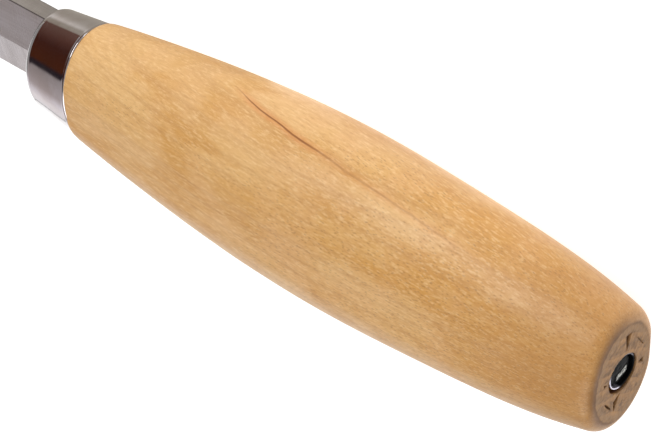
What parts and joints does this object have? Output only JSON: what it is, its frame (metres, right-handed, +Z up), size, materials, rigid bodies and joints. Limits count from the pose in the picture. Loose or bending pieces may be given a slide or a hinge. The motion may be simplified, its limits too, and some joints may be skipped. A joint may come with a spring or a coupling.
{
  "type": "chip carving knife",
  "caption": "Fixed-blade chip carving knife: sheepsfoot steel blade, polished oval ferrule, flattened oval wooden handle, and a tang riveted over a washer in the butt.",
  "frame": {"origin": "under the middle of the knife, on the surface that it lies on", "axes": "+X along the handle's axis from the blade's tip to the butt, +Y from the cutting edge to the spine, +Z up, square to the blade's side"},
  "size_m": [0.16, 0.0296, 0.0213],
  "materials": {
    "oiled_birch": "oiled satin birch with lengthwise figure",
    "polished_ferrule": "polished nickel",
    "ground_steel": "fine ground steel",
    "washer_steel": "bright drawn steel",
    "black_resin": "glossy black resin"
  },
  "bodies": {
    "root": {"handle": "oiled_birch", "ferrule": "polished_ferrule", "blade": "ground_steel", "rivet_washer": "washer_steel", "tang_bedding": "black_resin"}
  },
  "joints": []
}
